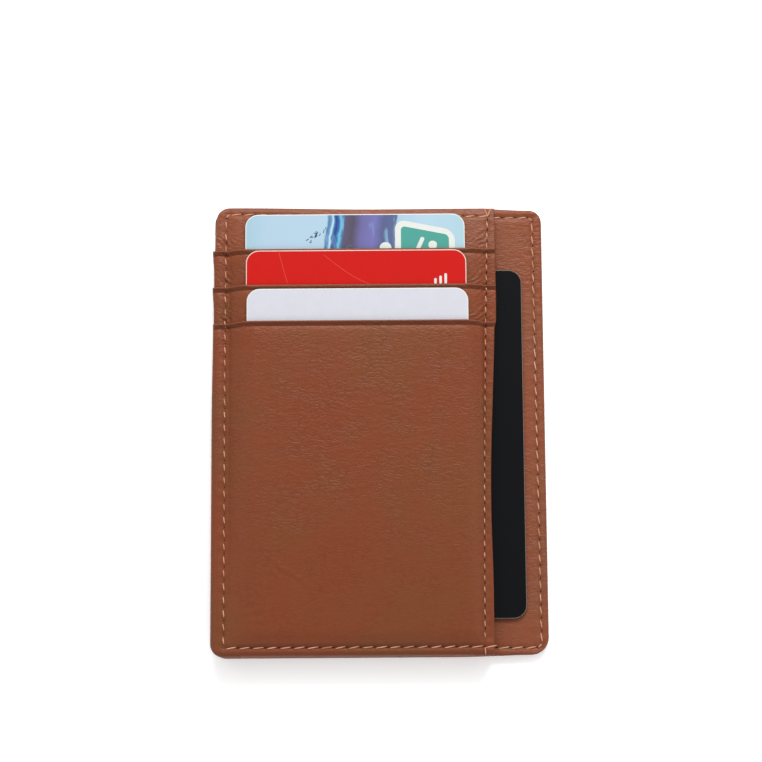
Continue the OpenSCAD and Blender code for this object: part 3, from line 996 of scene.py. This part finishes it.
# a card of core plastic with a printed film let into each face, leant and placed in its pocket
def makeCard(name, node, faceLook, coreLook, lean, prints=(), border=cardShape["border"]):
    low, high = boxOf(node)
    size = (high[0] - low[0], cardShape["length"])
    card = roundPlate(name, (0, size[1] / 2), size, cardShape["radius"], cardShape["thick"])
    card.data.materials.append(coreLook)
    card.data.materials.append(faceLook)
    selectFaces(card, lambda p: abs(p.normal.z) > 0.9)
    bpy.ops.mesh.bevel(offset=cardShape["bevel"] * mm, segments=2, affect="EDGES")
    bpy.ops.object.mode_set(mode="OBJECT")
    for upward in (1, -1):
        selectFaces(card, lambda p: p.normal.z * upward > 0.99 and p.area > 0.001)
        bpy.ops.mesh.inset(thickness=border * mm)
        card.active_material_index = 1
        bpy.ops.object.material_slot_assign()
        bpy.ops.object.mode_set(mode="OBJECT")
    deselectAll()
    card.select_set(True)
    bpy.context.view_layer.objects.active = card
    bpy.ops.object.shade_smooth_by_angle(angle=math.radians(30))
    parts = [card] + [makePrint(p) for p in prints]
    if len(parts) > 1:
        joinAll(parts, name)
    card.data.transform(Matrix.Rotation(math.atan(lean), 4, "X"))
    card.data.transform(Matrix.Translation(Vector(((low[0] + high[0]) / 2, low[1], low[2])) * mm))
    print("made", name)
    return card


ink = {"thick": 0.012, "sunk": 0.002, "layer": 0.008}


# a print on a card: a plate as thin as ink, just proud of the face or of the layers under it
def makePrint(spec):
    z = cardShape["thick"] - ink["sunk"] + ink["layer"] * spec.get("layers", 0)
    plate = roundPlate(spec["name"], spec["centre"], spec["size"], spec["radius"], ink["thick"], z)
    middle = Vector((*spec["centre"], 0)) * mm
    for v in plate.data.vertices:
        if v.co.y > middle.y:
            v.co.y += spec.get("slope", 0) * (v.co.x - middle.x)
    turn = Matrix.Rotation(math.radians(spec.get("turn", 0)), 4, "Z")
    plate.data.transform(Matrix.Translation(middle) @ turn @ Matrix.Translation(-middle))
    plate.data.materials.append(spec["look"])
    return plate


whiteCore = cardMaterial("WhitePvcCore", "#F1F0EC", 0.45)
creamCore = cardMaterial("CreamPvcCore", "#F3D9CC", 0.45)
greyCore = cardMaterial("GreyPvcCore", "#8C8984", 0.5)
redFace = cardMaterial("LaminatedRedPvc", "#D41A14")
whiteFace = cardMaterial("LaminatedWhitePvc", "#DEDFE8")
blackFace = cardMaterial("SatinBlackPvc", "#0D0E11", 0.26)
tealInk = cardMaterial("TealInk", "#54A99C")
whiteInk = cardMaterial("WhiteInk", "#EAEEE8")
pinkInk = cardMaterial("PaleRedInk", "#E2524A")
darkInk = cardMaterial("GreyInk", "#4A6474", 0.35)


# laminated blue PVC with an abstract print: pale sky, glassy upright streaks and a violet dusk
blueLook = {
    "streaks": [
        (0.0, "#A9CEDC"), (0.1, "#B7D3E6"), (0.366, "#B8D4E7"), (0.372, "#4A7CAB"), (0.386, "#6C9CC4"),
        (0.394, "#D4ECF6"), (0.402, "#4C86B8"), (0.412, "#2A4489"), (0.424, "#3F6FB0"), (0.432, "#7FD0E6"),
        (0.440, "#4D86BC"), (0.449, "#625D78"), (0.49, "#5B5566"), (0.53, "#7470A6"), (0.59, "#7C79B8"),
        (0.63, "#5F6890"), (0.688, "#63709A"), (0.694, "#B2D2E6"), (0.8, "#BBD8EA"), (1.0, "#B4D6E2"),
    ],
    "from": -0.032, "to": 0.022, "bend": 0.0016, "lean": -0.12, "shift": 0.0058,
    # where pale wisps show over the streaks
    "wispTint": "#9CC9EA",
    "wisps": [
        (0.366, 0.0), (0.374, 1.0), (0.44, 1.0), (0.46, 0.3),
        (0.58, 0.4), (0.62, 1.0), (0.685, 1.0), (0.694, 0.0),
    ],
}


def blueArt():
    material, tree, shader = newMaterial(
        "LaminatedBluePvc", {"Roughness": 0.28, "IOR": pvc["ior"], "Specular IOR Level": pvc["specular"]})
    where = addNode(tree, "TexCoord", out="Object")
    across = addNode(tree, "SeparateXYZ", links={"Vector": where}, out="X")
    along = addNode(tree, "SeparateXYZ", links={"Vector": where}, out="Y")
    wobble = addNode(tree, "TexNoise", values={"Scale": 260, "Detail": 3}, links={"Vector": where})
    bent = addNode(tree, "Math", {"operation": "MULTIPLY_ADD"}, {1: blueLook["bend"]},
                   {0: wobble, 2: across})
    leant = addNode(tree, "Math", {"operation": "MULTIPLY_ADD"},
                    {1: blueLook["lean"], 2: blueLook["shift"]}, {0: along})
    both = addNode(tree, "Math", {"operation": "ADD"}, links={0: leant, 1: bent})
    spread = addNode(tree, "MapRange",
                     values={"From Min": blueLook["from"], "From Max": blueLook["to"]}, links={"Value": both})
    streaks = addNode(tree, "ValToRGB", links={"Fac": spread}, stops=blueLook["streaks"])
    wispPlace = addNode(tree, "Mapping", values={"Scale": (420, 130, 130), "Rotation": (0, 0, 0.5)},
                        links={"Vector": where})
    wispNoise = addNode(tree, "TexNoise", values={"Scale": 1, "Detail": 4, "Distortion": 1.2},
                        links={"Vector": wispPlace})
    wisps = addNode(tree, "ValToRGB", links={"Fac": wispNoise}, stops=[(0.56, 0.0), (0.7, 0.6)])
    allowed = addNode(tree, "ValToRGB", links={"Fac": spread}, stops=blueLook["wisps"])
    amount = addNode(tree, "Math", {"operation": "MULTIPLY"}, links={0: wisps, 1: allowed})
    mixed = addNode(tree, "Mix", {"data_type": "RGBA", "blend_type": "MIX"},
                    {7: colour(blueLook["wispTint"])}, {0: amount, 6: streaks}, out=2)
    grey = (pvc["print"], pvc["print"], pvc["print"], 1)
    dulled = addNode(tree, "Mix", multiply, {0: 1.0, 7: grey}, {6: mixed}, out=2)
    linkShader(tree, shader, {"Base Color": dulled})
    return material


# card prints are placed from the middle of the card's lower end
cardEnd = cardShape["length"]
patch = {"x": 17.2, "y": cardEnd - 8.2, "size": (11.8, 8.0), "border": 1.45, "slope": -0.2}
patchMiddle = (patch["x"], patch["y"])
bluePrints = [
    {"name": "patchBorder", "centre": patchMiddle, "size": [s + 2 * patch["border"] for s in patch["size"]],
     "radius": 2.6, "look": whiteInk, "slope": patch["slope"]},
    {"name": "patch", "centre": patchMiddle, "size": patch["size"], "radius": 1.1, "look": tealInk,
     "slope": patch["slope"], "layers": 1},
    {"name": "patchBar", "centre": (patch["x"] - 1.2, patch["y"] + 0.6), "size": (1.0, 3.6), "radius": 0.4,
     "look": whiteInk, "layers": 2, "turn": -24},
    {"name": "patchDot", "centre": (patch["x"] + 1.9, patch["y"] + 0.3), "size": (2.1, 2.1), "radius": 1.0,
     "look": whiteInk, "layers": 2},
    {"name": "paleBlob", "centre": (7.5, cardEnd - 9.6), "size": (2.9, 4.9), "radius": 1.4, "look": whiteInk},
]
# grey flecks, scattered along a slanting line
for k in range(16):
    along = random.random()
    spotX = -11.9 + 4.2 * along + random.uniform(-0.9, 0.9)
    spotY = cardEnd - 6.9 + 3.4 * along + random.uniform(-0.5, 0.5)
    bluePrints.append({
        "name": "fleck", "centre": (spotX, spotY), "size": (random.uniform(0.35, 1.0), 0.2), "radius": 0.09,
        "look": darkInk, "turn": random.uniform(10, 75)})
redPrints = [{"name": "fineLine", "centre": (-17.95, cardEnd - 4.1), "size": (0.13, 8.6), "radius": 0.06,
              "look": pinkInk, "turn": 15}]
for k, height in enumerate((1.4, 2.0, 2.6)):
    redPrints.append({
        "name": "emblemBar", "centre": (19.4 + 1.25 * k, cardEnd - 8.6 + height / 2), "size": (0.62, height),
        "radius": 0.25, "look": whiteInk})
for k in range(14):
    t = k / 13
    redPrints.append({
        "name": "arcLine", "centre": (-7.4 + 12.6 * t, cardEnd - 1.6 - 7.4 * math.sin(t * 1.35) / 0.976),
        "size": (1.3, 0.12), "radius": 0.05, "look": pinkInk, "turn": -42 + 32 * t})

blueCard = makeCard("blueCard", "blue_card", blueArt(), whiteCore, 0, bluePrints)
redCard = makeCard("redCard", "red_card", redFace, creamCore, leans[1], redPrints)
whiteCard = makeCard("whiteCard", "white_card", whiteFace, whiteCore, leans[2])
blackCard = makeCard("blackCard", "black_card", blackFace, greyCore, 0, border=0.02)

# what rides on what, which CAD node it stands for, and its finish

leathers = zip([backPanel, slotFacing] + facings, ["back_panel", "slot_facing"] + facingNodes)
onWallet = [(piece, node, "leather") for piece, node in leathers] + [
    (perimeterSeam, "perimeter_stitching", "thread"), (slotSeam, "slot_edge_stitching", "thread"),
    (frontLining, "front_pocket_lining", "lining_fabric"), (frontTape, "front_mouth_tape", "stay_tape"),
]
for piece, node, slot in onWallet:
    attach(piece, "wallet")
    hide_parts(node)
for piece, body in (
    (blueCard, "blue_card"), (redCard, "red_card"), (whiteCard, "white_card"), (blackCard, "black_card"),
):
    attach(piece, body)
    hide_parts(body)

# the linings, tapes, board and thread that keep their own shape
innerLooks = {"back_stiffener": boardLook, "pocket_bottom_stitching": threadLook}
for node in ("slot_lining", "pocket_base_lining", "top_pocket_lining", "middle_pocket_lining"):
    innerLooks[node] = fabricLook
for node in ("top_mouth_tape", "middle_mouth_tape"):
    innerLooks[node] = tapeLook
for node, look in innerLooks.items():
    materials = frame["nodes"][node].data.materials
    materials.clear()
    materials.append(look)
print("pieces ride on their bodies")

# floor and light

deselectAll()
bpy.ops.mesh.primitive_plane_add(size=4, location=(0, 0, -0.00005))
floor = bpy.context.object
floor.name = "floor"
# the pale table is lit a little from below, so that shadows stay soft
floorLook = newMaterial("PalePaperFloor", {
    "Base Color": (0.96, 0.96, 0.96, 1), "Roughness": 0.9, "Specular IOR Level": 0.1,
    "Emission Color": (1, 1, 1, 1), "Emission Strength": 0.22,
})[0]
floor.data.materials.append(floorLook)

# the room from the floor up: a pale skirting, dim walls, a bright ring of soft boxes and a dim middle above
room = {
    "strength": 1.8,
    "bands": [(0.12, 0.5), (0.2, 0.25), (0.46, 0.25), (0.56, 0.85), (0.74, 0.85), (0.93, 0.15)],
}
world = bpy.data.worlds.new("Studio")
bpy.context.scene.world = world
world.use_nodes = True
sky = world.node_tree
direction = addNode(sky, "TexCoord", out="Generated")
height = addNode(sky, "SeparateXYZ", links={"Vector": direction}, out="Z")
bands = addNode(sky, "ValToRGB", links={"Fac": height}, stops=room["bands"])
strength = addNode(sky, "Math", {"operation": "MULTIPLY"}, {1: room["strength"]}, {0: bands})
linkShader(sky, sky.nodes["Background"], {"Strength": strength})
sky.nodes["Background"].inputs["Color"].default_value = (1, 1, 1, 1)


def softLight(name, place, size, power):
    light = bpy.data.lights.new(name, "AREA")
    light.shape = "RECTANGLE"
    light.size, light.size_y = size
    light.energy = power
    item = bpy.data.objects.new(name, light)
    bpy.context.collection.objects.link(item)
    item.location = place
    item.rotation_mode = "QUATERNION"
    item.rotation_quaternion = (-Vector(place)).to_track_quat("-Z", "Y")


softLight("keyLight", (0.07, 0.495, 0.42), (0.42, 0.2), 4.4)
bpy.context.scene.view_settings.view_transform = "Standard"
print("lights set")
